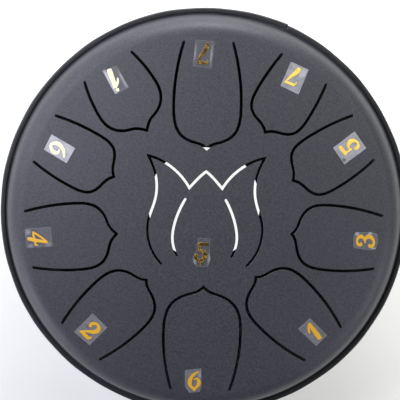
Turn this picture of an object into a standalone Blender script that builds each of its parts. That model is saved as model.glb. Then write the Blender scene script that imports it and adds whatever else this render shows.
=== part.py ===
"""Steel tongue drum: two pressed steel shells joined at a rim, eleven tongues cut in the top one.

The drum stands on the ground plane, its axis is Z, and the long low-7 tongue points along +Y.
"""

from math import acos, asin, atan2, cos, hypot, pi, radians, sin, sqrt, tau

import bmesh
import bpy
from mathutils import Matrix, Vector

# Driving dimensions, in metres
SEGMENTS = 60  # flats round every large turned piece
CLEARANCE = 0.0003  # between pieces that touch
SHEET = 0.0015  # steel sheet of both shells

WALL_BASE_RADIUS = 0.1476  # outside of both walls where they meet their flanges
FLANGE_WIDTH = 0.0028

TOP_DEPTH = 0.0392  # rim plane to the crown of the top shell
TOP_SHOULDER_WIDTH = 0.0163  # from the edge of the playing face to the foot of the wall
TOP_CROWN_RADIUS = 0.750
TOP_CORNER_RADIUS = 0.016
TOP_CORNER_STEPS = 5

BOWL_DEPTH = 0.090  # rim plane to the flat floor of the bottom shell
BOWL_CORNER_RADIUS = 0.055
BOWL_CORNER_SHARE = 0.9  # at most this share of the way from the flat floor to the wall
BOWL_CORNER_STEPS = 7
PORT_RADIUS = 0.0457

WELD_WIDTH = 0.0004

TRIM_GROOVE = 0.0012  # between the walls and the lips of the trim
TRIM_WALL = 0.0011
TRIM_JOINT_AZIMUTH = 65
TRIM_JOINT_GAP = 0.0006
TRIM_END_LIFT = 0.0012  # how far the upper end of the strip stands off its seat
TRIM_LIFT_ARC = 20  # degrees

SLOT_WIDTH = 0.0018
ROOT_MARGIN = 0.0017  # from the ends of the outer slots to the edge of the playing face
NECK_HALF_WIDTH = 0.0093
NECK_LEAN = (0.26, 0.97)  # direction of the side where it turns out of the neck
NECK_FLARE = 0.92  # how far the flare holds that direction, as a share of its depth
NECK_HANDLE = 0.0040
TIP_HANDLE = (0.0031, 0.0031)

# Outer tongues: radius and azimuth of the tip, azimuth of the axis, half width, half width at
# the root, depth of the drawn-out tip, where the tongue is widest as a share of its length, how
# straight its shoulder runs, and how far the slot ends lie inside their common circle
OUTER_TONGUES = {
    "low_7": (0.0492, 87.8, 88.9, 0.0243, 0.0179, 0.0045, 0.42, 0.53, 0.0029),
    "7": (0.0752, 54.1, 58.1, 0.0213, 0.0194, 0.0051, 0.52, 0.60, 0.0),
    "5": (0.0694, 22.2, 30.8, 0.0212, 0.0179, 0.0051, 0.47, 0.61, 0.0),
    "3": (0.0648, -11.3, -6.2, 0.0237, 0.0196, 0.0045, 0.47, 0.58, 0.0),
    "1": (0.0579, -49.4, -45.5, 0.0241, 0.0180, 0.0044, 0.43, 0.52, 0.0),
    "low_6": (0.0512, -90.4, -91.9, 0.0281, 0.0216, 0.0052, 0.46, 0.50, -0.0006),
    "2": (0.0623, -132.2, -136.2, 0.0241, 0.0193, 0.0045, 0.45, 0.51, -0.0011),
    "4": (0.0646, -168.8, -175.6, 0.0243, 0.0208, 0.0061, 0.49, 0.54, -0.0009),
    "6": (0.0712, 156.1, 151.7, 0.0214, 0.0186, 0.0051, 0.49, 0.62, 0.0),
    "high_1": (0.0747, 123.5, 121.7, 0.0240, 0.0203, 0.0065, 0.49, 0.30, 0.0),
}

# Centre tongue, drawn as a lotus in bloom. Right half, from the open root round to the peak: the
# points where its curves meet, and the two handles of each curve
LOTUS_OFFSET = 0.0008
LOTUS_TURN = -1.4
LOTUS_ROOT = (0.0309, -0.0350)
LOTUS_ROOT_HANDLES = ((0.0370, -0.0288), (0.0416, -0.0203))
LOTUS_BULGE = (0.0416, -0.0090)
LOTUS_BULGE_HANDLES = ((0.0416, 0.0012), (0.0354, 0.0078))
LOTUS_WAIST = (0.0354, 0.0202)
LOTUS_WAIST_HANDLES = ((0.0354, 0.0308), (0.0388, 0.0368))
LOTUS_TIP = (0.0419, 0.0432)
LOTUS_TIP_HANDLES = ((0.0325, 0.0414), (0.0195, 0.0339))
LOTUS_VALLEY = (0.0119, 0.0208)
LOTUS_VALLEY_HANDLES = ((0.0076, 0.0256), (0.0039, 0.0300))
LOTUS_PEAK = (0.0, 0.0327)
INNER_PETAL_TOP = (0.0146, 0.0125)
INNER_PETAL_TOP_HANDLES = ((0.0190, 0.0051), (0.0233, -0.0062))
INNER_PETAL_BULGE = (0.0233, -0.0154)
INNER_PETAL_BULGE_HANDLES = ((0.0233, -0.0204), (0.0217, -0.0247))
INNER_PETAL_FOOT = (0.0199, -0.0285)

LABEL_LENGTH = 0.0185
LABEL_THICKNESS = 0.0003
LABEL_CORNER = 0.0015

# Number labels at the roots: distance of the centre inside the circle of slot ends, azimuth,
# turn from straight, and width
ROOT_LABELS = {
    "low_7": (0.0133, 89.7, -6.7, 0.0136),
    "7": (0.0104, 56.6, 11.0, 0.0141),
    "5": (0.0133, 25.0, 11.0, 0.0141),
    "3": (0.0104, -9.0, 5.5, 0.0130),
    "1": (0.0125, -46.8, 1.8, 0.0120),
    "low_6": (0.0077, -93.4, 3.4, 0.0132),
    "2": (0.0124, -134.5, 1.0, 0.0142),
    "4": (0.0086, -172.2, -2.3, 0.0140),
    "6": (0.0147, 155.1, -4.6, 0.0125),
    "high_1": (0.0127, 122.7, -3.7, 0.0125),
}
CENTRE_LABEL = (0.0252, -92.3, -3.0, 0.0125)  # radius, azimuth, turn and width

FOOT_COUNT = 3
FOOT_CIRCLE_RADIUS = 0.074
FOOT_FIRST_AZIMUTH = 90
FOOT_HEIGHT = 0.012
FOOT_TOP_RADIUS = 0.011
FOOT_BASE_RADIUS = 0.0095
FOOT_EDGE = 0.0008
FOOT_RECESS_PLAY = 0.0007  # round the washer
FOOT_HEAD_SETBACK = 0.0025  # screw head above the ground
FOOT_STEPS = 20

SCREW_RADIUS = 0.0020  # M4
SCREW_HEAD_RADIUS = 0.0036
SCREW_HEAD_HEIGHT = 0.0024
SCREW_SOCKET_RADIUS = 0.0014
SCREW_SOCKET_DEPTH = 0.0014
SCREW_STICK_OUT = 0.0015  # past the nut
WASHER_RADIUS = 0.0045
WASHER_THICKNESS = 0.0010
NUT_FLATS = 0.0070
NUT_HEIGHT = 0.0032
FASTENER_STEPS = 12

# Sizes that follow from those above
TOP_FACE_RADIUS = WALL_BASE_RADIUS - TOP_SHOULDER_WIDTH
ROOT_CIRCLE_RADIUS = TOP_FACE_RADIUS - ROOT_MARGIN
BOWL_FLOOR_RADIUS = FOOT_CIRCLE_RADIUS + FOOT_TOP_RADIUS
FLANGE_RADIUS = WALL_BASE_RADIUS + FLANGE_WIDTH
WELD_RADIUS = FLANGE_RADIUS + CLEARANCE + WELD_WIDTH
TRIM_RADIUS = WELD_RADIUS + CLEARANCE + TRIM_WALL  # outside of the drum
RIM_HEIGHT = FOOT_HEIGHT + CLEARANCE + BOWL_DEPTH
BOLT_HOLE_RADIUS = SCREW_RADIUS + CLEARANCE
FOOT_RECESS_RADIUS = WASHER_RADIUS + FOOT_RECESS_PLAY
FOOT_RECESS_DEPTH = FOOT_HEAD_SETBACK + SCREW_HEAD_HEIGHT + WASHER_THICKNESS + 2 * CLEARANCE


def clear_scene():
    for thing in list(bpy.data.objects):
        bpy.data.objects.remove(thing, do_unlink=True)


def new_material(name, colour, roughness, metallic=0.0):
    material = bpy.data.materials.new(name)
    material.use_nodes = True
    shader = material.node_tree.nodes["Principled BSDF"]
    shader.inputs["Base Color"].default_value = (*colour, 1.0)
    shader.inputs["Roughness"].default_value = roughness
    shader.inputs["Metallic"].default_value = metallic
    material.diffuse_color = (*colour, 1.0)
    return material


def new_object(name, bm, material=None):
    """One object from a bmesh, with its faces turned outwards."""
    bmesh.ops.recalc_face_normals(bm, faces=bm.faces)
    mesh = bpy.data.meshes.new(name)
    bm.to_mesh(mesh)
    bm.free()
    mesh.shade_smooth()
    mesh.set_sharp_from_angle(angle=radians(30))
    if material:
        mesh.materials.append(material)
    thing = bpy.data.objects.new(name, mesh)
    bpy.context.scene.collection.objects.link(thing)
    return thing


def cut(thing, cutter):
    modifier = thing.modifiers.new(cutter.name, "BOOLEAN")
    modifier.operation = "DIFFERENCE"
    modifier.solver = "EXACT"
    modifier.object = cutter
    cutter.hide_render = True
    cutter.display_type = "WIRE"


def on_circle(radius, azimuth):
    return Vector((radius * cos(radians(azimuth)), radius * sin(radians(azimuth))))


def full_turn(steps):
    return [(tau * step / steps, 0.0) for step in range(steps)]


def turned(outline, stations, closed=True):
    """A closed outline of (radius, z) points carried round Z through (angle, radial offset) stations."""
    bm = bmesh.new()
    rings = []
    for angle, offset in stations:
        ring = []
        for radius, z in outline:
            reach = radius + offset
            ring.append(bm.verts.new((reach * cos(angle), reach * sin(angle), z)))
        rings.append(ring)
    pairs = list(zip(rings, rings[1:]))
    if closed:
        pairs.append((rings[-1], rings[0]))
    else:
        bm.faces.new(rings[0])
        bm.faces.new(rings[-1])
    count = len(outline)
    for near, far in pairs:
        for here in range(count):
            there = (here + 1) % count
            bm.faces.new((near[here], near[there], far[there], far[here]))
    bmesh.ops.remove_doubles(bm, verts=bm.verts, dist=1e-6)
    return bm


def bezier(start, start_handle, end_handle, end, steps):
    """Points of a cubic curve, without its last one."""
    points = []
    for step in range(steps):
        t = step / steps
        s = 1 - t
        weights = (s**3, 3 * s * s * t, 3 * s * t * t, t**3)
        curve = zip(weights, (start, start_handle, end_handle, end))
        points.append(sum((w * Vector(p) for w, p in curve), Vector((0, 0))))
    return points


# ---- shells ----


def wall_tangent(depth, face_radius, corner_radius, crown_radius):
    """Corner centre, and the angles where the corner leaves the face and meets the wall."""
    lean = asin(face_radius / crown_radius) if crown_radius else 0.0
    centre_radius = face_radius - corner_radius * sin(lean)
    centre_height = depth - corner_radius
    if crown_radius:
        centre_height = depth - crown_radius + (crown_radius - corner_radius) * cos(lean)
    across = WALL_BASE_RADIUS - centre_radius
    down = CLEARANCE / 2 + SHEET - centre_height
    wall_angle = atan2(down, across) + acos(corner_radius / hypot(across, down))
    return centre_radius, centre_height, pi / 2 - lean, wall_angle


def shell_skin(depth, face_radius, corner_radius, crown_radius, steps, rings, inset, base_height):
    """One side of a shell as (radius, height above the rim plane), from its middle to its flange."""
    centre_radius, centre_height, face_angle, wall_angle = wall_tangent(
        depth, face_radius, corner_radius, crown_radius
    )
    skin = []
    for radius in rings:
        drop = crown_radius - sqrt(crown_radius**2 - radius**2) if crown_radius else 0.0
        normal = radius / crown_radius if crown_radius else 0.0
        skin.append((radius - inset * normal, depth - drop - inset * cos(asin(normal))))
    reach = corner_radius - inset
    for step in range(steps + 1):
        angle = face_angle + (wall_angle - face_angle) * step / steps
        skin.append((centre_radius + reach * cos(angle), centre_height + reach * sin(angle)))
    last_radius, last_height = skin[-1]
    run = (last_height - base_height) * sin(wall_angle) / cos(wall_angle)
    skin.append((last_radius + run, base_height))
    return skin


def shell_outline(depth, face_radius, corner_radius, crown_radius, steps, rings):
    """Closed section of a shell and its flange, height measured away from the rim plane."""
    sizes = (depth, face_radius, corner_radius, crown_radius, steps, rings)
    mating_height = CLEARANCE / 2
    outside = shell_skin(*sizes, 0.0, mating_height + SHEET)
    inside = shell_skin(*sizes, SHEET, mating_height)
    flange = [(FLANGE_RADIUS, mating_height + SHEET), (FLANGE_RADIUS, mating_height)]
    return outside + flange + inside[::-1]


def top_height(radius):
    """Height of the top shell's outer face over the ground."""
    drop = TOP_CROWN_RADIUS - sqrt(TOP_CROWN_RADIUS**2 - radius**2)
    return RIM_HEIGHT + TOP_DEPTH - drop


def tongue_side(length, half_width, root_half_width, neck_depth, widest_share, straight, side):
    """One side of a tongue's slot, root to tip, as (distance along the axis, offset from it)."""
    widest = Vector((widest_share * length, half_width))
    root = Vector((length, root_half_width))
    middle = Vector(((widest.x + root.x) / 2, half_width))
    neck = Vector((neck_depth, NECK_HALF_WIDTH))
    neck_lean = Vector(NECK_LEAN)
    shoulder_reach = Vector((straight * (widest.x - neck.x), 0))
    neck_reach = NECK_FLARE * (half_width - NECK_HALF_WIDTH)
    tip = Vector((0, 0))
    flank = bezier(root, root.lerp(middle, 2 / 3), widest.lerp(middle, 2 / 3), widest, 4)
    shoulder = bezier(widest, widest - shoulder_reach, neck + neck_lean * neck_reach, neck, 6)
    point = bezier(neck, neck - neck_lean * NECK_HANDLE, Vector(TIP_HANDLE), tip, 3)
    return [Vector((p.x, side * p.y)) for p in flank + shoulder + point]


def outer_slot(
    tip_radius, tip_azimuth, axis_azimuth, half_width, root_half_width, neck_depth, widest_share, straight, stop
):
    """Centre line of the slot round an outer tongue."""
    root_radius = ROOT_CIRCLE_RADIUS - stop
    tip = on_circle(tip_radius, tip_azimuth)
    along = on_circle(1.0, axis_azimuth)
    across = Vector((-along.y, along.x))
    sides = []
    for side in (1, -1):
        offset = tip + across * side * root_half_width
        inward = offset.dot(along)
        length = -inward + sqrt(inward**2 - offset.length_squared + root_radius**2)
        widths = (half_width, root_half_width, neck_depth, widest_share, straight)
        local = tongue_side(length, *widths, side)
        sides.append([tip + along * p.x + across * p.y for p in local])
    return sides[0] + [tip] + sides[1][::-1]


def lotus_place(points):
    turn = Matrix.Rotation(radians(LOTUS_TURN), 2)
    return [turn @ p + Vector((LOTUS_OFFSET, 0)) for p in points]


def mirrored(points):
    return [Vector((-p.x, p.y)) for p in points]


def lotus_slot():
    """Centre line of the slot round the centre tongue."""
    half = bezier(LOTUS_ROOT, *LOTUS_ROOT_HANDLES, LOTUS_BULGE, 4)
    half += bezier(LOTUS_BULGE, *LOTUS_BULGE_HANDLES, LOTUS_WAIST, 5)
    half += bezier(LOTUS_WAIST, *LOTUS_WAIST_HANDLES, LOTUS_TIP, 3)
    half += bezier(LOTUS_TIP, *LOTUS_TIP_HANDLES, LOTUS_VALLEY, 6)
    half += bezier(LOTUS_VALLEY, *LOTUS_VALLEY_HANDLES, LOTUS_PEAK, 2)
    return lotus_place(half + [Vector(LOTUS_PEAK)] + mirrored(half)[::-1])


def inner_petal_slots():
    """The two arcs inside the centre tongue."""
    arc = bezier(INNER_PETAL_TOP, *INNER_PETAL_TOP_HANDLES, INNER_PETAL_BULGE, 6)
    arc += bezier(INNER_PETAL_BULGE, *INNER_PETAL_BULGE_HANDLES, INNER_PETAL_FOOT, 4)
    arc.append(Vector(INNER_PETAL_FOOT))
    return [lotus_place(arc), lotus_place(mirrored(arc))]


def slot_outline(line):
    """A slot of even width along a centre line, its corners mitred and its ends drawn to a point."""
    half = SLOT_WIDTH / 2
    left = []
    right = []
    for index, point in enumerate(line):
        before = (point - line[max(index - 1, 0)]).normalized()
        after = (line[min(index + 1, len(line) - 1)] - point).normalized()
        along = (before + after).normalized()
        mitre = max(along.dot(before), along.dot(after))
        across = Vector((-along.y, along.x)) * half / mitre
        left.append(point + across)
        right.append(point - across)
    start = line[0] - (line[1] - line[0]).normalized() * half
    end = line[-1] + (line[-1] - line[-2]).normalized() * half
    return [start] + left + [end] + right[::-1]


def slot_cutter(lines, low, high):
    bm = bmesh.new()
    for line in lines:
        outline = slot_outline(line)
        floor = bm.faces.new([bm.verts.new((p.x, p.y, low)) for p in outline])
        raised = bmesh.ops.extrude_face_region(bm, geom=[floor])["geom"]
        corners = [item for item in raised if isinstance(item, bmesh.types.BMVert)]
        bmesh.ops.translate(bm, verts=corners, vec=(0, 0, high - low))
    return new_object("tongue_slots", bm)


def build_top_shell(material):
    rings = [share * TOP_FACE_RADIUS for share in (0, 0.25, 0.5, 0.72, 0.88)]
    outline = shell_outline(
        TOP_DEPTH,
        TOP_FACE_RADIUS,
        TOP_CORNER_RADIUS,
        TOP_CROWN_RADIUS,
        TOP_CORNER_STEPS,
        rings,
    )
    outline = [(radius, RIM_HEIGHT + height) for radius, height in outline]
    shell = new_object("top_shell", turned(outline, full_turn(SEGMENTS)), material)
    lines = [outer_slot(*sizes) for sizes in OUTER_TONGUES.values()]
    lines += [lotus_slot(), *inner_petal_slots()]
    cut(shell, slot_cutter(lines, RIM_HEIGHT, RIM_HEIGHT + 2 * TOP_DEPTH))


def build_bottom_shell(material):
    corner_room = BOWL_CORNER_SHARE * (WALL_BASE_RADIUS - BOWL_FLOOR_RADIUS)
    outline = shell_outline(
        BOWL_DEPTH,
        BOWL_FLOOR_RADIUS,
        min(BOWL_CORNER_RADIUS, corner_room),
        None,
        BOWL_CORNER_STEPS,
        [PORT_RADIUS],
    )
    outline = [(radius, RIM_HEIGHT - height) for radius, height in outline]
    shell = new_object("bottom_shell", turned(outline, full_turn(SEGMENTS)), material)
    floor = RIM_HEIGHT - BOWL_DEPTH
    bm = bmesh.new()
    for place in foot_places():
        where = Matrix.Translation((place.x, place.y, floor + SHEET / 2))
        bmesh.ops.create_cone(
            bm,
            cap_ends=True,
            segments=FASTENER_STEPS,
            radius1=BOLT_HOLE_RADIUS,
            radius2=BOLT_HOLE_RADIUS,
            depth=4 * SHEET,
            matrix=where,
        )
    cut(shell, new_object("bolt_holes", bm))


# ---- rim ----


def build_seam_weld(material):
    """The bead that joins the edges of the two flanges."""
    inside = FLANGE_RADIUS + CLEARANCE
    half = SHEET * 0.75
    outline = [
        (inside, RIM_HEIGHT + half),
        (WELD_RADIUS, RIM_HEIGHT + half * 0.6),
        (WELD_RADIUS, RIM_HEIGHT - half * 0.6),
        (inside, RIM_HEIGHT - half),
    ]
    new_object("seam_weld", turned(outline, full_turn(SEGMENTS)), material)


def trim_stations():
    """Angles along the strip, closely spaced on the stretch whose end stands off its seat."""
    step = 360 / SEGMENTS
    joint = round(TRIM_JOINT_AZIMUTH / step) * step
    half_gap = TRIM_JOINT_GAP / TRIM_RADIUS / 2
    stations = []
    for index in range(SEGMENTS + 1):
        along = index * step
        angle = radians(joint + along)
        if index == 0:
            angle += half_gap
        if index == SEGMENTS:
            angle -= half_gap
        share = max(0.0, 1 - along / TRIM_LIFT_ARC)
        stations.append((angle, TRIM_END_LIFT * share * share * (3 - 2 * share)))
    return stations


def build_rim_trim(material):
    """A rubber channel pushed over both flanges, open towards the drum."""
    mouth = WALL_BASE_RADIUS + TRIM_GROOVE
    web = TRIM_RADIUS - TRIM_WALL
    inner = CLEARANCE / 2 + SHEET + CLEARANCE
    outer = inner + TRIM_WALL
    round_off = TRIM_WALL * 0.45
    upper = [
        (mouth, inner),
        (mouth, outer - round_off),
        (mouth + round_off, outer),
        (TRIM_RADIUS - 2 * round_off, outer),
        (TRIM_RADIUS, outer - 2 * round_off),
    ]
    lower = [(radius, -height) for radius, height in upper[::-1]]
    outline = upper + lower + [(web, -inner), (web, inner)]
    outline = [(radius, RIM_HEIGHT + height) for radius, height in outline]
    new_object("rim_trim", turned(outline, trim_stations(), closed=False), material)


# ---- labels ----


def label_places():
    places = {"low_5": CENTRE_LABEL}
    for name, (inset, azimuth, turn, width) in ROOT_LABELS.items():
        places[name] = (ROOT_CIRCLE_RADIUS - inset, azimuth, turn, width)
    return places


def build_labels(material):
    for name, (radius, azimuth, turn, width) in label_places().items():
        half_length = LABEL_LENGTH / 2
        half_width = width / 2
        bm = bmesh.new()
        corners = []
        for x, y in ((1, 1), (-1, 1), (-1, -1), (1, -1)):
            along = (x * (half_length - LABEL_CORNER), y * half_width)
            beside = (x * half_length, y * (half_width - LABEL_CORNER))
            corners += [beside, along] if x * y > 0 else [along, beside]
        film = bm.faces.new([bm.verts.new((x, y, 0)) for x, y in corners])
        raised = bmesh.ops.extrude_face_region(bm, geom=[film])["geom"]
        upper = [item for item in raised if isinstance(item, bmesh.types.BMVert)]
        bmesh.ops.translate(bm, verts=upper, vec=(0, 0, LABEL_THICKNESS))
        label = new_object(f"number_label_{name}", bm, material)
        centre = on_circle(radius, azimuth)
        sag = half_length**2 / (2 * TOP_CROWN_RADIUS)
        lean = Matrix.Rotation(asin(radius / TOP_CROWN_RADIUS), 4, "Y")
        place = Matrix.Translation((centre.x, centre.y, top_height(radius) + CLEARANCE + sag))
        face = Matrix.Rotation(radians(azimuth), 4, "Z") @ lean
        label.matrix_world = place @ face @ Matrix.Rotation(radians(turn), 4, "Z")


# ---- feet ----


def foot_places():
    step = 360 / FOOT_COUNT
    azimuths = [FOOT_FIRST_AZIMUTH + step * index for index in range(FOOT_COUNT)]
    return [on_circle(FOOT_CIRCLE_RADIUS, azimuth) for azimuth in azimuths]


def foot_outline():
    return [
        (BOLT_HOLE_RADIUS, FOOT_HEIGHT),
        (FOOT_TOP_RADIUS, FOOT_HEIGHT),
        (FOOT_BASE_RADIUS, FOOT_EDGE),
        (FOOT_BASE_RADIUS - FOOT_EDGE, 0.0),
        (FOOT_RECESS_RADIUS, 0.0),
        (FOOT_RECESS_RADIUS, FOOT_RECESS_DEPTH),
        (BOLT_HOLE_RADIUS, FOOT_RECESS_DEPTH),
    ]


def washer_outline(top):
    bottom = top - WASHER_THICKNESS
    hole = BOLT_HOLE_RADIUS
    return [(hole, top), (WASHER_RADIUS, top), (WASHER_RADIUS, bottom), (hole, bottom)]


def screw_outline(head_top, tip):
    head_bottom = head_top - SCREW_HEAD_HEIGHT
    dome = SCREW_HEAD_HEIGHT * 0.4
    return [
        (0.0, tip),
        (SCREW_RADIUS * 0.8, tip),
        (SCREW_RADIUS, tip - SCREW_RADIUS * 0.2),
        (SCREW_RADIUS, head_top),
        (SCREW_HEAD_RADIUS, head_top),
        (SCREW_HEAD_RADIUS, head_bottom + dome),
        (SCREW_HEAD_RADIUS * 0.7, head_bottom),
        (SCREW_SOCKET_RADIUS, head_bottom),
        (SCREW_SOCKET_RADIUS, head_bottom + SCREW_SOCKET_DEPTH),
        (0.0, head_bottom + SCREW_SOCKET_DEPTH),
    ]


def build_nut(name, bottom, material):
    """A hexagon with a round hole."""
    corner = NUT_FLATS / sqrt(3)
    bm = bmesh.new()
    rings = []
    steps = 12
    for index in range(steps):
        angle = tau * index / steps
        reach = corner if index % 2 == 0 else NUT_FLATS / 2
        section = (
            (BOLT_HOLE_RADIUS, bottom),
            (reach, bottom),
            (reach, bottom + NUT_HEIGHT),
            (BOLT_HOLE_RADIUS, bottom + NUT_HEIGHT),
        )
        rings.append([bm.verts.new((r * cos(angle), r * sin(angle), z)) for r, z in section])
    for index, near in enumerate(rings):
        far = rings[(index + 1) % steps]
        for here in range(4):
            there = (here + 1) % 4
            bm.faces.new((near[here], near[there], far[there], far[here]))
    return new_object(name, bm, material)


def build_feet(rubber, steel):
    floor = RIM_HEIGHT - BOWL_DEPTH
    washer_top = FOOT_RECESS_DEPTH - CLEARANCE
    head_top = washer_top - WASHER_THICKNESS - CLEARANCE
    nut_bottom = floor + SHEET + CLEARANCE
    tip = nut_bottom + NUT_HEIGHT + SCREW_STICK_OUT
    for number, place in enumerate(foot_places(), start=1):
        bodies = {
            "foot": (foot_outline(), FOOT_STEPS, rubber),
            "foot_washer": (washer_outline(washer_top), FASTENER_STEPS, steel),
            "foot_screw": (screw_outline(head_top, tip), FASTENER_STEPS, steel),
        }
        for name, (outline, steps, material) in bodies.items():
            piece = new_object(f"{name}_{number}", turned(outline, full_turn(steps)), material)
            piece.location = (place.x, place.y, 0)
        nut = build_nut(f"foot_nut_{number}", nut_bottom, steel)
        nut.location = (place.x, place.y, 0)


clear_scene()
powder_coat = new_material("powder_coat", (0.055, 0.056, 0.065), 0.5)
weld_steel = new_material("weld_steel", (0.30, 0.29, 0.28), 0.5, 1.0)
trim_rubber = new_material("trim_rubber", (0.016, 0.017, 0.018), 0.6)
label_film = new_material("label_film", (0.55, 0.50, 0.38), 0.3)
foot_rubber = new_material("foot_rubber", (0.02, 0.02, 0.02), 0.75)
zinc_steel = new_material("zinc_steel", (0.62, 0.63, 0.65), 0.35, 1.0)
build_top_shell(powder_coat)
build_bottom_shell(powder_coat)
build_seam_weld(weld_steel)
build_rim_trim(trim_rubber)
build_labels(label_film)
build_feet(foot_rubber, zinc_steel)
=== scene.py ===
from math import acos, asin, atan2, cos, hypot, pi, radians, sin, sqrt, tan, tau

import bmesh
import bpy
import numpy as np
from mathutils import Matrix, Vector, noise
from mathutils.geometry import delaunay_2d_cdt


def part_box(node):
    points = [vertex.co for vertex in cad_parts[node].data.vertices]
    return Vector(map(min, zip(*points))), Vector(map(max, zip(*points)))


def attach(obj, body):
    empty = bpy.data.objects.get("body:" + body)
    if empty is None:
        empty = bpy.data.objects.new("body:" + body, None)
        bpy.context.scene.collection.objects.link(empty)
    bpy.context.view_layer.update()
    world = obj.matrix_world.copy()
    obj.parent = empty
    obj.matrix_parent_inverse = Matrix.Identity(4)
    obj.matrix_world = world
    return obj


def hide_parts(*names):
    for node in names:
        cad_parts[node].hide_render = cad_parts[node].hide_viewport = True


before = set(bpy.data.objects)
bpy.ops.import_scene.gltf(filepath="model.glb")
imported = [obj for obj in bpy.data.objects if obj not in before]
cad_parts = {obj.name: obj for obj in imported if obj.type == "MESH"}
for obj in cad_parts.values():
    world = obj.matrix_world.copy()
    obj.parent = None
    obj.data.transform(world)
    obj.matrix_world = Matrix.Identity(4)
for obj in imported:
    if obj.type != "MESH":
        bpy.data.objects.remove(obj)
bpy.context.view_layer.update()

# ---- top shell ----
# One round of 1.5 mm sheet steel, pressed to a shallow dome with a rounded shoulder, a short wall
# and a flat flange. A laser cuts the slot round each of the eleven tongues, a file breaks the
# edges of the slots, and the shell is powder coated in a fine-grained grey black.

MM = 0.001
GAP = 0.3 * MM  # between pieces that touch
SHEET = 1.5 * MM
SIDES = 360  # flats round the shells
EDGE_ROUND = 0.15 * MM  # along every cut edge
TOP_LOW, TOP_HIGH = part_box("top_shell")
RIM_HEIGHT = TOP_LOW.z - GAP / 2
CROWN_HEIGHT = TOP_HIGH.z
FLANGE_RADIUS = TOP_HIGH.x
WALL_FOOT_RADIUS = FLANGE_RADIUS - 2.8 * MM
FACE_RADIUS = WALL_FOOT_RADIUS - 16.3 * MM
CROWN_RADIUS = 750 * MM
TOP_CORNER_RADIUS = 16 * MM
FLANGE_FILLET = 1.0 * MM
SLOT_WIDTH = 2.15 * MM
LOTUS_SLOT_WIDTH = 1.85 * MM
SLOT_CORNER = 0.35 * MM
ROOT_CIRCLE_RADIUS = FACE_RADIUS - 1.7 * MM

# Outer tongues, in millimetres and degrees: radius and azimuth of the tip, azimuth of the axis,
# half width, half width at the root, depth of the drawn-out tip, where the tongue is widest as a
# share of its length, how straight its shoulder runs, and how far the slot ends lie inside their
# common circle
OUTER_TONGUES = {
    "low_7": (49.2, 87.8, 88.9, 24.3, 17.9, 4.5, 0.42, 0.53, 2.9),
    "7": (75.2, 54.1, 58.1, 21.3, 19.4, 5.1, 0.52, 0.60, 0.0),
    "5": (69.4, 22.2, 30.8, 21.2, 17.9, 5.1, 0.47, 0.61, 0.0),
    "3": (64.8, -11.3, -6.2, 23.7, 19.6, 4.5, 0.47, 0.58, 0.0),
    "1": (57.9, -49.4, -45.5, 24.1, 18.0, 4.4, 0.43, 0.52, 0.0),
    "low_6": (51.2, -90.4, -91.9, 28.1, 21.6, 5.2, 0.46, 0.50, -0.6),
    "2": (62.3, -132.2, -136.2, 24.1, 19.3, 4.5, 0.45, 0.51, -1.1),
    "4": (64.6, -168.8, -175.6, 24.3, 20.8, 6.1, 0.49, 0.54, -0.9),
    "6": (71.2, 156.1, 151.7, 21.4, 18.6, 5.1, 0.49, 0.62, 0.0),
    "high_1": (74.7, 123.5, 121.7, 24.0, 20.3, 6.5, 0.49, 0.30, 0.0),
}
# Right half of the lotus in the middle, in millimetres: each curve from the open root to the peak
LOTUS_CURVES = [
    ((30.9, -35.0), (37.0, -28.8), (41.6, -20.3), (41.6, -9.0)),
    ((41.6, -9.0), (41.6, 1.2), (35.4, 7.8), (35.4, 20.2)),
    ((35.4, 20.2), (35.4, 30.8), (38.8, 36.8), (41.9, 43.2)),
    ((41.9, 43.2), (32.5, 41.4), (19.5, 33.9), (11.9, 20.8)),
    ((11.9, 20.8), (7.6, 25.6), (3.9, 30.0), (0.0, 32.7)),
]
INNER_PETAL_CURVES = [
    ((14.6, 12.5), (19.0, 5.1), (23.3, -6.2), (23.3, -15.4)),
    ((23.3, -15.4), (23.3, -20.4), (21.7, -24.7), (19.9, -28.5)),
]
LOTUS_TURN = -1.4  # degrees
LOTUS_OFFSET = 0.8 * MM


def direction(azimuth):
    return np.array([cos(radians(azimuth)), sin(radians(azimuth))])


def bezier(start, start_handle, end_handle, end, spacing=1.6 * MM):
    """Points of a cubic curve, about evenly spaced, without its last one."""
    corners = np.array([start, start_handle, end_handle, end], float)
    length = np.linalg.norm(np.diff(corners, axis=0), axis=1).sum()
    t = np.linspace(0, 1, max(3, round(length / spacing)), endpoint=False)[:, None]
    s = 1 - t
    return s**3 * corners[0] + 3 * s * s * t * corners[1] + 3 * s * t * t * corners[2] + t**3 * corners[3]


def tongue_side(length, half_width, root_half_width, neck_depth, widest_share, straight):
    """One side of a tongue, root to tip, as (distance from the tip along the axis, offset)."""
    widest = np.array([widest_share * length, half_width])
    root = np.array([length, root_half_width])
    middle = np.array([(widest[0] + root[0]) / 2, half_width])
    neck = np.array([neck_depth, 9.3 * MM])
    lean = np.array([0.26, 0.97])
    tip = np.zeros(2)
    flare = 0.92 * (half_width - neck[1])
    level = np.array([straight * (widest[0] - neck[0]), 0])
    flank = bezier(root, (root + 2 * middle) / 3, (widest + 2 * middle) / 3, widest)
    shoulder = bezier(widest, widest - level, neck + lean * flare, neck)
    point = bezier(neck, neck - lean * 4 * MM, np.array([3.1, 3.1]) * MM, tip)
    return np.concatenate([flank, shoulder, point])


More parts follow.
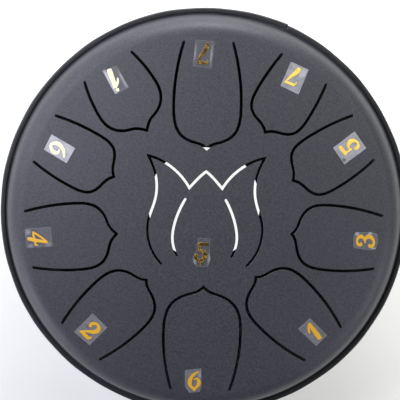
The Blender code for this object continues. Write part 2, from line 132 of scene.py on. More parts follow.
def tongue_line(
    tip_radius, tip_azimuth, axis_azimuth, half_width, root_half_width, neck_depth, widest_share, straight, stop
):
    """Centre line of the slot round an outer tongue."""
    tip = tip_radius * MM * direction(tip_azimuth)
    along = direction(axis_azimuth)
    across = np.array([-along[1], along[0]])
    root_radius = ROOT_CIRCLE_RADIUS - stop * MM
    widths = (half_width * MM, root_half_width * MM, neck_depth * MM, widest_share, straight)
    sides = []
    for side in (1, -1):
        start = tip + across * side * root_half_width * MM
        inward = start @ along
        length = -inward + sqrt(inward**2 - start @ start + root_radius**2)
        local = tongue_side(length, *widths)
        sides.append(tip + local[:, :1] * along + side * local[:, 1:] * across)
    return np.concatenate([sides[0], [tip], sides[1][::-1]])


def lotus_lines():
    """Centre lines of the slot round the middle tongue and of the two arcs inside it."""
    turn = radians(LOTUS_TURN)
    rotation = np.array([[cos(turn), -sin(turn)], [sin(turn), cos(turn)]])
    flip = np.array([-1, 1])
    half = np.concatenate([bezier(*(np.array(curve) * MM)) for curve in LOTUS_CURVES])
    peak = np.array(LOTUS_CURVES[-1][-1]) * MM
    arc = np.concatenate([bezier(*(np.array(curve) * MM)) for curve in INNER_PETAL_CURVES])
    arc = np.concatenate([arc, [np.array(INNER_PETAL_CURVES[-1][-1]) * MM]])
    lines = [np.concatenate([half, [peak], half[::-1] * flip]), arc, arc * flip]
    return [line @ rotation.T + np.array([LOTUS_OFFSET, 0]) for line in lines]


def unit(vectors):
    return vectors / np.linalg.norm(vectors, axis=-1, keepdims=True)


def distances(points, line, closed=True):
    """How far each point is from a line of straight pieces."""
    ends = np.roll(line, -1, axis=0)
    starts = line
    if not closed:
        starts, ends = line[:-1], line[1:]
    along = ends - starts
    away = points[:, None] - starts
    share = np.clip((away * along).sum(axis=2) / (along**2).sum(axis=1), 0, 1)
    return np.linalg.norm(away - share[..., None] * along, axis=2).min(axis=1)


def inside(points, outline):
    """Which points a closed outline holds."""
    x, y = points[:, :1], points[:, 1:]
    ends = np.roll(outline, -1, axis=0)
    rise = ends[:, 1] - outline[:, 1]
    spans = (outline[:, 1] > y) != (ends[:, 1] > y)
    slope = (ends[:, 0] - outline[:, 0]) / np.where(rise == 0, 1, rise)
    return (spans & (x < outline[:, 0] + (y - outline[:, 1]) * slope)).sum(axis=1) % 2 == 1


def round_corners(outline, radius):
    """A closed outline with each sharp corner replaced by a small curve."""
    before = unit(outline - np.roll(outline, 1, axis=0))
    after = unit(np.roll(outline, -1, axis=0) - outline)
    turns = np.arccos(np.clip((before * after).sum(axis=1), -1, 1))
    sharp = np.flatnonzero(turns > radians(35))
    setbacks = radius * np.tan(turns[sharp] / 2)
    keep = np.ones(len(outline), bool)
    for corner, setback in zip(sharp, setbacks):
        keep &= np.linalg.norm(outline - outline[corner], axis=1) > setback + 0.3 * MM
    rounded = []
    for index, point in enumerate(outline):
        if index in sharp:
            setback = setbacks[list(sharp).index(index)]
            start, end = point - before[index] * setback, point + after[index] * setback
            for t in (0, 0.25, 0.5, 0.75, 1):
                rounded.append((1 - t) ** 2 * start + 2 * t * (1 - t) * point + t * t * end)
        elif keep[index]:
            rounded.append(point)
    return np.array(rounded)


def slot_outline(line, width):
    """The edge of a slot along a centre line: sharp where the line is, and round at its tapered ends."""
    before = unit(np.diff(line, axis=0, prepend=2 * line[:1] - line[1:2]))
    after = unit(np.diff(line, axis=0, append=2 * line[-1:] - line[-2:-1]))
    along = unit(before + after)
    across = np.stack([-along[:, 1], along[:, 0]], axis=1)
    mitre = across / (along * after).sum(axis=1)[:, None]
    run = np.concatenate([[0], np.cumsum(np.linalg.norm(np.diff(line, axis=0), axis=1))])
    to_end = np.minimum(run, run[-1] - run)
    taper = 1 - 0.1 * np.clip(1 - to_end / (3 * MM), 0, 1) ** 2
    half = (width / 2 * taper)[:, None]
    sides = []
    for side in (1, -1):
        edge = line + side * mitre * half
        clear = distances(edge, line, closed=False) > half[:, 0] * 0.99
        sides.append(edge[clear])
    caps = []
    for end, out in ((line[-1], along[-1]), (line[0], -along[0])):
        reach = half[0, 0]
        beside = np.array([-out[1], out[0]])
        angles = np.radians([60, 30, 0, -30, -60])[:, None]
        caps.append(end + reach * (np.cos(angles) * out + np.sin(angles) * beside))
    outline = np.concatenate([sides[0], caps[0], sides[1][::-1], caps[1]])
    outline = round_corners(outline, SLOT_CORNER)
    x, y = outline.T
    if (x * np.roll(y, -1) - y * np.roll(x, -1)).sum() < 0:
        outline = outline[::-1]
    return outline


def outward(outline):
    """At each point of an anticlockwise outline, the step that moves both of its sides out by one."""
    side = unit(np.roll(outline, -1, axis=0) - outline)
    normal = np.stack([side[:, 1], -side[:, 0]], axis=1)
    before = np.roll(normal, 1, axis=0)
    return (before + normal) / (1 + (before * normal).sum(axis=1))[:, None]


def pierced_disc(radius, outlines, spacing):
    """Triangles over a disc with holes: points, triangles, and each outline's point numbers, the disc's edge first."""
    turn = np.arange(SIDES) * tau / SIDES
    loops = [radius * np.stack([np.cos(turn), np.sin(turn)], axis=1), *outlines]
    steps = np.arange(-radius, radius, spacing)
    rows = np.arange(-radius, radius, spacing * sqrt(0.75))
    fill = np.array([(x + spacing / 2 * (row % 2), y) for row, y in enumerate(rows) for x in steps])
    fill = fill[np.hypot(*fill.T) < radius - spacing / 2]
    for outline in outlines:
        fill = fill[~inside(fill, outline)]
        fill = fill[distances(fill, outline) > spacing * 0.45]
    points = np.concatenate([*loops, fill])
    edges = []
    numbers = []
    start = 0
    for loop in loops:
        count = len(loop)
        edges += [(start + here, start + (here + 1) % count) for here in range(count)]
        numbers.append(np.arange(start, start + count))
        start += count
    found, _, triangles, origins, _, _ = delaunay_2d_cdt([Vector(p) for p in points], edges, [], 0, 1e-9)
    new_number = np.zeros(len(points), int)
    for new, olds in enumerate(origins):
        new_number[olds] = new
    flat = np.array([tuple(p) for p in found])
    triangles = np.array([list(t) for t in triangles])
    middles = flat[triangles].mean(axis=1)
    for outline in outlines:
        hole = inside(middles, outline)
        middles, triangles = middles[~hole], triangles[~hole]
    return flat, triangles, [new_number[n] for n in numbers]


def strip_faces(near, far):
    """Squares between two closed rings of point numbers."""
    return np.stack([near, np.roll(near, -1), np.roll(far, -1), far], axis=1)


def smooth_by_area(mesh):
    """Smooth shading in which large faces lead, so that small rounded edges stay crisp."""
    mesh.shade_smooth()
    count = len(mesh.polygons)
    normals, areas, sizes = np.zeros(count * 3), np.zeros(count), np.zeros(count, int)
    corners = np.zeros(len(mesh.loops), int)
    mesh.polygons.foreach_get("normal", normals)
    mesh.polygons.foreach_get("area", areas)
    mesh.polygons.foreach_get("loop_total", sizes)
    mesh.loops.foreach_get("vertex_index", corners)
    weighted = (normals.reshape(-1, 3) * areas[:, None]).repeat(sizes, axis=0)
    totals = np.zeros((len(mesh.vertices), 3))
    np.add.at(totals, corners, weighted)
    mesh.normals_split_custom_set_from_vertices(unit(totals))


def new_piece(name, mesh, material, slot, *nodes):
    """A shown piece that rides on the drum's one body and stands for its CAD nodes."""
    mesh.materials.append(material)
    piece = bpy.data.objects.new(name, mesh)
    bpy.context.scene.collection.objects.link(piece)
    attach(piece, "root")
    if nodes:
        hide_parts(*nodes)
    return piece


def closed_mesh(name, points, faces):
    """A mesh with its faces turned outwards."""
    mesh = bpy.data.meshes.new(name)
    mesh.from_pydata([tuple(p) for p in points], [], [tuple(int(n) for n in face) for face in faces])
    bm = bmesh.new()
    bm.from_mesh(mesh)
    bmesh.ops.recalc_face_normals(bm, faces=bm.faces)
    bm.to_mesh(mesh)
    bm.free()
    smooth_by_area(mesh)
    return mesh


def pressed_shell(name, face_radius, place, outlines, section, spacing):
    """A shell: its pierced face, the walls of the holes, and the turned shoulder, wall and flange."""
    loops = [outline + outward(outline) * EDGE_ROUND for outline in outlines]
    flat, triangles, numbers = pierced_disc(face_radius, loops, spacing)
    count = len(flat)
    points = [place(flat, 0), place(flat, SHEET)]
    faces = [*triangles, *(triangles[:, ::-1] + count)]
    total = 2 * count
    bends = np.radians([30, 60, 90])
    profile = [(1 - sin(bend), 1 - cos(bend)) for bend in bends]
    cuts = [(out * EDGE_ROUND, down * EDGE_ROUND) for out, down in profile]
    cuts += [(out, SHEET - down) for out, down in cuts[::-1]]
    for outline, loop in zip(outlines, numbers[1:]):
        ring = loop
        for out, depth in cuts:
            points.append(place(outline + outward(outline) * out, depth))
            fresh = total + np.arange(len(outline))
            faces += list(strip_faces(ring, fresh))
            total += len(outline)
            ring = fresh
        faces += list(strip_faces(ring, loop + count))
    turn = np.arange(SIDES) * tau / SIDES
    ring = numbers[0]
    for radius, height in section:
        points.append(np.stack([radius * np.cos(turn), radius * np.sin(turn), np.full(SIDES, height)], axis=1))
        fresh = total + np.arange(SIDES)
        faces += list(strip_faces(ring, fresh))
        total += SIDES
        ring = fresh
    faces += list(strip_faces(ring, numbers[0] + count))
    return closed_mesh(name, np.concatenate(points), faces)


def arc(centre, radius, start, end, steps):
    angles = np.linspace(start, end, steps + 1)
    return [(centre[0] + radius * cos(a), centre[1] + radius * sin(a)) for a in angles]


def soft_shoulder(face_radius, centre, corner_radius, face, foot, wall):
    """A shoulder that bends slowly out of the face and then faster: its outside down, its inside up."""
    start = np.array([face_radius, centre[1] + corner_radius * sin(face)])
    end = np.array(foot) - FLANGE_FILLET * np.array([cos(wall), sin(wall)])
    from_face = start + 12.5 * MM * np.array([sin(face), -cos(face)])
    to_wall = end + 13 * MM * np.array([-sin(wall), cos(wall)])
    line = np.concatenate([bezier(start, from_face, to_wall, end, 1.1 * MM), [end]])
    along = unit(np.gradient(line, axis=0))
    inside_line = line + SHEET * np.stack([along[:, 1], -along[:, 0]], axis=1)
    return [tuple(p) for p in line[1:-1]], [tuple(p) for p in inside_line[-2:0:-1]]


def shell_section(depth, face_radius, corner_radius, crown_radius, steps):
    """(radius, height over the rim plane) of a shell from the edge of its face, round the flange and back."""
    lean = asin(face_radius / crown_radius) if crown_radius else 0.0
    centre = [face_radius - corner_radius * sin(lean), depth - corner_radius]
    if crown_radius:
        centre[1] = depth - crown_radius + (crown_radius - corner_radius) * cos(lean)
    top, under = GAP / 2 + SHEET, GAP / 2
    across, down = WALL_FOOT_RADIUS - centre[0], top - centre[1]
    wall = atan2(down, across) + acos(corner_radius / hypot(across, down))
    face = pi / 2 - lean
    foot = (WALL_FOOT_RADIUS + FLANGE_FILLET * (1 - sin(wall)) / cos(wall), top + FLANGE_FILLET)
    edge = FLANGE_RADIUS - EDGE_ROUND
    if crown_radius:
        outer, inner = soft_shoulder(face_radius, centre, corner_radius, face, foot, wall)
    else:
        outer = arc(centre, corner_radius, face, wall, steps)[1:]
        inner = arc(centre, corner_radius - SHEET, wall, face, steps)[:-1]
    outer += arc(foot, FLANGE_FILLET, wall + pi, 1.5 * pi, 5)
    rim = arc((edge, top - EDGE_ROUND), EDGE_ROUND, pi / 2, 0, 3)
    rim += arc((edge, under + EDGE_ROUND), EDGE_ROUND, 0, -pi / 2, 3)
    return outer + rim + arc(foot, FLANGE_FILLET + SHEET, 1.5 * pi, wall + pi, 5) + inner


def dome_height(x, y):
    return CROWN_HEIGHT - CROWN_RADIUS + np.sqrt(CROWN_RADIUS**2 - x * x - y * y)


def dome_place(flat, depth):
    """Points of the playing face, at a depth below its outside."""
    x, y = flat.T
    rise = dome_height(x, y) - (CROWN_HEIGHT - CROWN_RADIUS)
    outside = np.stack([x, y, dome_height(x, y)], axis=1)
    return outside - depth / CROWN_RADIUS * np.stack([x, y, rise], axis=1)


def add_node(tree, kind, inputs=None, **settings):
    """A shader node with its settings, and its inputs set or linked."""
    node = tree.nodes.new(kind)
    for name, value in settings.items():
        setattr(node, name, value)
    for name, value in (inputs or {}).items():
        if isinstance(value, bpy.types.NodeSocket):
            tree.links.new(value, node.inputs[name])
        else:
            node.inputs[name].default_value = value
    return node


def new_group(name, inputs, outputs):
    """An empty node group with its sockets, and its input and output nodes."""
    tree = bpy.data.node_groups.new(name, "ShaderNodeTree")
    for label, (kind, value) in inputs.items():
        socket = tree.interface.new_socket(label, in_out="INPUT", socket_type=kind)
        if value is not None:
            socket.default_value = value
    for label, kind in outputs.items():
        tree.interface.new_socket(label, in_out="OUTPUT", socket_type=kind)
    return tree, tree.nodes.new("NodeGroupInput").outputs, tree.nodes.new("NodeGroupOutput").inputs


def fine_grain_group():
    """Grain: a mask of small speckles, a slow mottle, and a height for the bump."""
    tree, given, made = new_group(
        "fine_grain",
        {"Grain": ("NodeSocketFloat", 0.4), "Mottle": ("NodeSocketFloat", 20.0)},
        {"Speckle": "NodeSocketFloat", "Mottle": "NodeSocketFloat", "Height": "NodeSocketFloat"},
    )
    place = add_node(tree, "ShaderNodeTexCoord").outputs["Object"]
    per_grain = add_node(tree, "ShaderNodeMath", operation="DIVIDE")
    per_grain.inputs[0].default_value = 1000.0
    tree.links.new(given["Grain"], per_grain.inputs[1])
    per_patch = add_node(tree, "ShaderNodeMath", operation="DIVIDE")
    per_patch.inputs[0].default_value = 1000.0
    tree.links.new(given["Mottle"], per_patch.inputs[1])
    speckle = add_node(
        tree, "ShaderNodeTexNoise", {"Vector": place, "Scale": per_grain.outputs[0], "Detail": 3.0}
    )
    patch = add_node(
        tree, "ShaderNodeTexNoise", {"Vector": place, "Scale": per_patch.outputs[0], "Detail": 4.0}
    )
    tree.links.new(speckle.outputs["Fac"], made["Speckle"])
    tree.links.new(patch.outputs["Fac"], made["Mottle"])
    tree.links.new(speckle.outputs["Fac"], made["Height"])
    return tree


FINE_GRAIN = fine_grain_group()


def grain_in(tree, grain, mottle):
    """The grain group, with speckles and mottle of these sizes in millimetres."""
    node = tree.nodes.new("ShaderNodeGroup")
    node.node_tree = FINE_GRAIN
    node.inputs["Grain"].default_value = grain
    node.inputs["Mottle"].default_value = mottle
    return node.outputs


def shade_between(tree, mask, low, high, dark, light):
    """A colour that goes from dark to light as the mask goes from low to high."""
    fit = add_node(
        tree, "ShaderNodeMapRange", {"Value": mask, "From Min": low, "From Max": high}
    )
    mix = add_node(tree, "ShaderNodeMix", data_type="RGBA")
    tree.links.new(fit.outputs["Result"], mix.inputs[0])
    mix.inputs[6].default_value = (*dark, 1)
    mix.inputs[7].default_value = (*light, 1)
    return mix.outputs[2]


def value_between(tree, mask, low, high, start, end):
    """A value that goes from start to end as the mask goes from low to high."""
    inputs = {"Value": mask, "From Min": low, "From Max": high, "To Min": start, "To Max": end}
    return add_node(tree, "ShaderNodeMapRange", inputs).outputs["Result"]


def new_material(name):
    material = bpy.data.materials.new(name)
    material.use_nodes = True
    return material, material.node_tree, material.node_tree.nodes["Principled BSDF"]


def bump(tree, shader, height, depth, strength=1.0):
    """Raises the surface by depth, in metres, where the height is one."""
    inputs = {"Height": height, "Distance": depth, "Strength": strength}
    node = add_node(tree, "ShaderNodeBump", inputs)
    tree.links.new(node.outputs["Normal"], shader.inputs["Normal"])


def powder_coat():
    """Grey-black textured powder coat: small soft grains, a slow mottle and a few pale specks."""
    material, tree, shader = new_material("powder_coat")
    grain = grain_in(tree, 1.3, 45.0)
    base = shade_between(tree, grain["Speckle"], 0.3, 0.7, (0.024, 0.025, 0.030), (0.050, 0.051, 0.061))
    tree.links.new(base, shader.inputs["Base Color"])
    tree.links.new(value_between(tree, grain["Mottle"], 0.3, 0.7, 0.50, 0.56), shader.inputs["Roughness"])
    bump(tree, shader, grain["Height"], 0.05 * MM)
    return material


POWDER_COAT = powder_coat()
slots = [slot_outline(tongue_line(*sizes), SLOT_WIDTH) for sizes in OUTER_TONGUES.values()]
slots += [slot_outline(line, LOTUS_SLOT_WIDTH) for line in lotus_lines()]
top_section = shell_section(
    CROWN_HEIGHT - RIM_HEIGHT, FACE_RADIUS, TOP_CORNER_RADIUS, CROWN_RADIUS, 20
)
top_mesh = pressed_shell(
    "top_shell_drawn",
    FACE_RADIUS,
    dome_place,
    slots,
    [(radius, RIM_HEIGHT + height) for radius, height in top_section],
    4 * MM,
)
new_piece("tongue_shell", top_mesh, POWDER_COAT, "powder_coat", "top_shell")

# ---- bottom shell ----
# A deep bowl drawn from the same sheet, with a round sound port in its flat floor and three bolt
# holes for the feet. Its flange meets the top shell's at the rim, and it is coated like it.

BOWL_LOW, BOWL_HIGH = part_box("bottom_shell")
BOWL_DEPTH = RIM_HEIGHT - BOWL_LOW.z
BOWL_FLOOR_RADIUS = 85 * MM
BOWL_CORNER_RADIUS = 55 * MM
PORT_RADIUS = 45.7 * MM
FOOT_CIRCLE_RADIUS = 74 * MM
FOOT_AZIMUTHS = (90, 210, 330)
BOLT_HOLE_RADIUS = 2.3 * MM


def circle_outline(centre, radius, steps):
    turn = np.arange(steps) * tau / steps
    return centre + radius * np.stack([np.cos(turn), np.sin(turn)], axis=1)


def floor_place(flat, depth):
    """Points of the bowl's floor, at a depth above its outside."""
    return np.column_stack([flat, np.full(len(flat), BOWL_LOW.z + depth)])


foot_centres = [FOOT_CIRCLE_RADIUS * direction(azimuth) for azimuth in FOOT_AZIMUTHS]
floor_holes = [circle_outline(np.zeros(2), PORT_RADIUS, 180)]
floor_holes += [circle_outline(centre, BOLT_HOLE_RADIUS, 24) for centre in foot_centres]
bowl_section = shell_section(BOWL_DEPTH, BOWL_FLOOR_RADIUS, BOWL_CORNER_RADIUS, None, 32)
bowl_mesh = pressed_shell(
    "bottom_shell_drawn",
    BOWL_FLOOR_RADIUS,
    floor_place,
    floor_holes,
    [(radius, RIM_HEIGHT - height) for radius, height in bowl_section],
    6 * MM,
)
new_piece("bowl_shell", bowl_mesh, POWDER_COAT, "powder_coat", "bottom_shell")

# ---- seam weld ----
# A bead of weld runs round the edges of the two flanges and closes the drum. It is bare steel with
# a blued heat tint, and the rubber trim hides it.


def weld_steel():
    """Weld metal: bright ripples and brown heat tint."""
    material, tree, shader = new_material("weld_steel")
    grain = grain_in(tree, 1.2, 9.0)
    base = shade_between(tree, grain["Mottle"], 0.35, 0.65, (0.20, 0.15, 0.11), (0.42, 0.41, 0.40))
    tree.links.new(base, shader.inputs["Base Color"])
    tree.links.new(value_between(tree, grain["Speckle"], 0.3, 0.7, 0.35, 0.6), shader.inputs["Roughness"])
    shader.inputs["Metallic"].default_value = 1.0
    bump(tree, shader, grain["Height"], 0.15 * MM)
    return material


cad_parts["seam_weld"].data.materials.clear()
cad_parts["seam_weld"].data.materials.append(weld_steel())

# ---- rim trim ----
# A strip of extruded black rubber with a U section, pushed over both flanges. It lies a little
# wavy, and its two ends meet at the upper right, where the upper end stands off its seat.

TRIM_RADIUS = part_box("rim_trim")[1].x
TRIM_HALF_HEIGHT = (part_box("rim_trim")[1].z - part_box("rim_trim")[0].z) / 2
TRIM_MOUTH = WALL_FOOT_RADIUS + 1.2 * MM
TRIM_WALL = 1.1 * MM
TRIM_CORNER = 1.5 * MM
TRIM_LIP_ROUND = 0.45 * MM
TRIM_JOINT_AZIMUTH = 66
TRIM_JOINT_GAP = 0.12 * MM
TRIM_END_LIFT = 0.8 * MM
TRIM_LIFT_ARC = radians(20)
TRIM_WAVE = 0.5 * MM
TRIM_STATIONS = 720


def trim_section():
    """(radius, height over the rim plane) round the rubber, from the middle of its channel."""
    slot_half = TRIM_HALF_HEIGHT - TRIM_WALL
    lip = (TRIM_MOUTH + TRIM_LIP_ROUND, TRIM_HALF_HEIGHT - TRIM_LIP_ROUND)
    nose = (TRIM_RADIUS - TRIM_CORNER, TRIM_HALF_HEIGHT - TRIM_CORNER)
    upper = [(TRIM_RADIUS - TRIM_WALL, slot_half), (TRIM_MOUTH + 0.2 * MM, slot_half)]
    upper += arc(lip, TRIM_LIP_ROUND, pi, pi / 2, 4)
    upper += arc(nose, TRIM_CORNER, pi / 2, 0, 8)
    return upper + [(radius, -height) for radius, height in upper[::-1]]


def trim_offset(angle, along):
    """How far the rubber lies off its seat: a slow waviness, and the lifted end."""
    wave = sin(7 * angle + 1) + 0.7 * sin(17 * angle + 2.2) + 0.5 * sin(31 * angle + 4) - 2.2
    share = max(0.0, 1 - along / TRIM_LIFT_ARC)
    return TRIM_WAVE / 4.4 * wave + TRIM_END_LIFT * share * share * (3 - 2 * share)


def trim_mesh():
    section = trim_section()
    count = len(section)
    half_gap = TRIM_JOINT_GAP / TRIM_RADIUS / 2
    points = []
    faces = []
    for station in range(TRIM_STATIONS + 1):
        along = half_gap + (tau - 2 * half_gap) * station / TRIM_STATIONS
        angle = radians(TRIM_JOINT_AZIMUTH) + along
        offset = trim_offset(angle, along)
        for radius, height in section:
            push = offset * (radius - TRIM_MOUTH) / (TRIM_RADIUS - TRIM_MOUTH)
            reach = radius + (push if along > TRIM_LIFT_ARC else offset)
            points.append((reach * cos(angle), reach * sin(angle), RIM_HEIGHT + height))
    for station in range(TRIM_STATIONS):
        ring = np.arange(count) + station * count
        faces += list(strip_faces(ring, ring + count))
    faces += [list(range(count))[::-1], [TRIM_STATIONS * count + here for here in range(count)]]
    return closed_mesh("rim_trim_strip", points, faces)


def trim_rubber():
    """Black extruded rubber: fine die lines are lost in a dusty satin surface."""
    material, tree, shader = new_material("trim_rubber")
    grain = grain_in(tree, 0.7, 14.0)
    base = shade_between(tree, grain["Mottle"], 0.35, 0.65, (0.008, 0.009, 0.011), (0.015, 0.016, 0.019))
    tree.links.new(base, shader.inputs["Base Color"])
    tree.links.new(value_between(tree, grain["Speckle"], 0.3, 0.7, 0.42, 0.6), shader.inputs["Roughness"])
    bump(tree, shader, grain["Height"], 0.04 * MM)
    return material


new_piece("edge_trim", trim_mesh(), trim_rubber(), "trim_rubber", "rim_trim")

# ---- number labels ----
# Eleven pieces of clear film, cut out by hand with scissors and stuck at the roots of the tongues.
# Each carries a numeral in gold hot foil. The film lies in small creases and holds some air.

FILM_LIFT = 0.06 * MM  # glue and air under the film
FILM_THICKNESS = 0.10 * MM
FOIL_HEIGHT = 0.09 * MM

# Each label: (radius of its centre, azimuth, turn), crease height in hundredths of a millimetre,
# the corners of the film in millimetres from its centre, with up towards the middle of the drum,
# then its numeral, where that numeral's own centre lies, its dot, and which lit or shaded tone of painted light its
# foil takes
LABELS = {
    "low_7": ((117.1, 90.3, -6.7), 9, [(-7.0, 9.8), (6.5, 9.4), (6.6, -9.8), (-7.2, -9.8)],
              "7", (-2.1, 1.95), (-2.2, -7.2), "dark_reflection"),
    "7": ((118.9, 56.5, 11.0), 6, [(-6.6, 9.4), (7.9, 8.5), (7.4, -10.4), (-6.6, -10.0)],
          "7", (0.0, 0.0), None, "bright"),
    "5": ((116.5, 24.9, 11.0), 5, [(-6.9, 10.1), (7.7, 9.7), (8.0, -10.0), (-6.9, -9.7)],
          "5", (0.0, 0.0), None, "bright"),
    "3": ((119.3, -8.8, 5.5), 7,
          [(-5.3, 8.7), (0.5, 9.4), (6.0, 8.7), (6.5, -3.5), (5.4, -8.0), (0.0, -8.9), (-5.6, -7.6), (-6.6, -3.1)],
          "3", (0.0, 0.0), None, "gold"),
    "1": ((116.3, -47.0, 1.8), 4, [(-5.7, 9.2), (5.9, 8.7), (5.7, -9.5), (-5.4, -9.7)],
          "1", (0.0, 0.0), None, "gold"),
    "low_6": ((121.8, -93.4, 3.4), 4,
              [(-6.6, 8.2), (-1.0, 8.9), (5.2, 9.6), (5.5, -4.0), (4.1, -8.3), (-3.6, -9.0), (-6.8, -4.0)],
              "6", (-0.5, 1.9), (0.1, -6.4), "gold"),
    "2": ((117.2, -134.6, 1.0), 5, [(-7.7, 9.5), (7.2, 9.3), (7.0, -9.6), (-7.9, -10.3)],
          "2", (0.0, 0.0), None, "gold"),
    "4": ((120.9, -172.3, -2.3), 9, [(-7.5, 8.8), (6.9, 9.3), (6.5, -10.3), (-7.5, -10.3)],
          "4", (0.0, 0.0), None, "gold"),
    "6": ((114.6, 155.1, -4.6), 5, [(-6.3, 8.9), (6.3, 8.7), (6.1, -10.6), (-6.3, -11.0)],
          "6", (0.0, 0.0), None, "pale"),
    "high_1": ((117.2, 122.8, -3.7), 8, [(-5.5, 9.0), (5.5, 9.0), (5.5, -10.8), (-5.2, -8.5)],
               "1", (0.4, -1.2), (2.4, 6.9), "pale"),
    "low_5": ((25.0, -92.5, -3.0), 9,
              [(-4.1, 9.6), (4.7, 9.9), (5.2, -0.4), (6.3, -4.9), (4.7, -11.0), (-3.9, -11.3), (-6.9, -6.3), (-4.8, -0.4)],
              "5", (-1.7, 0.2), (0.05, -8.8), "dark_reflection"),
}
# How milky each film looks, and its milky or clear patches: middle, half width and
# half height in millimetres, and milkiness. The milkiness is partly the haze of air and glue under the film and partly
# a painted reflection of the lamps in the film
FILM_HAZE_AND_REFLECTION = {
    "low_7": (0.03, [(-6.0, 0.0, 0.9, 8.5, 0.22), (5.8, 0.0, 0.8, 8.0, 0.18)]),
    "7": (0.30, [(-3.5, -6.0, 3.0, 4.5, 0.62), (4.5, 6.0, 3.0, 1.2, 0.25)]),
    "5": (0.36, [(-4.1, 8.4, 1.9, 1.9, 0.06)]),
    "3": (0.08, [(4.9, 6.9, 1.5, 1.7, 0.5), (5.6, -2.6, 1.1, 1.9, 0.45), (-5.4, -6.0, 1.1, 2.4, 0.35)]),
    "1": (0.12, []),
    "low_6": (0.11, [(4.0, 5.0, 1.6, 4.0, 0.24)]),
    "2": (0.13, [(-4.6, -0.6, 3.0, 1.0, 0.06)]),
    "4": (0.05, [(-5.0, -8.0, 2.4, 2.8, 0.2), (5.0, 6.0, 2.0, 3.0, 0.18), (5.2, -7.0, 1.6, 2.4, 0.18)]),
    "6": (0.50, [(4.6, 6.0, 1.9, 2.6, 0.4)]),
    "high_1": (0.06, [(4.3, -0.9, 1.9, 12.0, 0.62), (-4.5, 2.5, 1.4, 7.5, 0.26)]),
    "low_5": (0.03, [(5.2, -5.0, 1.0, 5.5, 0.22), (-5.0, -8.0, 1.2, 3.0, 0.24)]),
}
# The same gold foil in lit and shaded copies, a painted reflection of how the light falls on each numeral: the colour
# of a stroke's top, and the colour at its edges
FOIL_TONES = {
    "pale": ((0.84, 0.76, 0.44), (0.92, 0.88, 0.68)),
    "bright": ((0.92, 0.68, 0.13), (0.86, 0.48, 0.05)),
    "gold": ((0.78, 0.42, 0.035), (0.66, 0.36, 0.03)),
    "dark_reflection": ((0.05, 0.034, 0.010), (0.55, 0.32, 0.040)),
}

# Numerals as pen strokes, in millimetres: (x, y, width of the stroke) at each turn of the pen
NUMERALS = {
    "1": [
        [(2.4, 5.4, 2.7), (2.0, 3.0, 3.1), (1.5, -0.5, 3.4), (0.9, -4.3, 3.7), (0.5, -6.7, 3.7)],
        [(-1.95, 1.0, 1.4), (-1.1, 2.8, 1.7), (0.4, 4.4, 1.9), (2.2, 5.8, 1.8)],
    ],
    "2": [
        [(-1.7, 1.5, 1.6), (-2.7, 1.6, 2.4), (-2.8, 3.2, 2.5), (-1.2, 5.2, 2.5), (1.0, 5.8, 2.3),
         (3.1, 4.7, 3.1), (3.8, 2.4, 3.5), (2.6, 0.0, 3.1), (0.2, -1.9, 2.5), (-2.4, -4.2, 1.8), (-4.9, -6.9, 1.5)],
        [(-5.0, -7.0, 1.4), (-2.6, -6.3, 2.6), (0.5, -6.3, 3.0), (2.6, -6.2, 2.8), (3.9, -4.4, 1.4)],
    ],
    "3": [
        [(-1.6, 3.6, 1.4), (-2.8, 3.5, 2.2), (-3.2, 4.7, 2.4), (-2.0, 6.2, 2.2), (0.0, 6.7, 1.7), (2.1, 5.9, 2.4),
         (3.1, 4.2, 3.0), (2.4, 2.4, 2.4), (0.6, 1.1, 1.6), (-1.5, 0.7, 1.0)],
        [(-1.5, 0.7, 0.9), (0.6, 0.7, 1.6), (2.6, -0.4, 2.9), (3.3, -2.0, 3.3), (2.2, -4.3, 2.7), (-0.3, -5.8, 2.0),
         (-2.8, -5.4, 2.3), (-3.9, -3.9, 2.7), (-3.5, -2.7, 2.3), (-2.6, -3.1, 1.4)],
    ],
    "4": [
        [(3.5, 5.2, 1.8), (2.9, 2.6, 2.0), (2.0, -1.0, 2.4), (1.0, -4.6, 2.7), (0.1, -7.8, 2.6)],
        [(3.2, 5.4, 1.3), (0.6, 2.6, 1.5), (-2.2, -0.8, 1.5), (-4.5, -4.2, 1.6)],
        [(-4.6, -4.2, 1.6), (-2.4, -4.3, 1.5), (0.4, -3.6, 1.6), (3.2, -3.5, 1.6), (4.7, -3.2, 1.6), (5.2, -1.9, 1.0)],
    ],
    "5": [
        [(-1.1, 5.1, 2.6), (1.5, 5.1, 2.8), (4.8, 5.3, 2.7)],
        [(-0.6, 5.6, 1.5), (-0.75, 2.6, 1.6), (-1.0, -0.2, 1.4)],
        [(-1.0, -0.2, 1.0), (0.6, 0.5, 1.6), (2.4, 0.0, 2.5), (3.9, -2.8, 3.5), (2.9, -5.6, 2.7), (0.6, -6.95, 1.9),
         (-1.6, -6.3, 2.2), (-2.8, -4.5, 2.7), (-2.4, -3.2, 2.2), (-1.7, -3.6, 1.4)],
    ],
    "6": [
        [(3.3, 5.1, 1.5), (1.6, 4.0, 2.0), (-0.8, 1.8, 2.6), (-2.4, -1.2, 3.1), (-2.7, -4.0, 3.0), (-1.6, -6.4, 2.5),
         (0.2, -7.6, 2.0), (2.2, -6.7, 2.3), (3.7, -4.6, 2.8), (3.9, -2.4, 2.9), (3.2, -0.7, 2.3), (1.8, -0.2, 1.4),
         (0.4, -0.9, 0.8)],
    ],
    "7": [
        [(-1.95, 2.2, 1.1), (-1.5, 3.6, 1.5), (-0.4, 4.4, 2.1), (1.5, 4.3, 2.3), (3.8, 4.4, 2.2), (6.0, 5.0, 1.0)],
        [(6.0, 5.0, 1.0), (4.9, 2.6, 1.6), (3.3, -0.8, 2.4), (1.4, -3.7, 3.2), (0.4, -6.0, 3.6), (0.1, -7.4, 3.2)],
    ],
}
DOT_RADIUS = 1.35  # millimetres


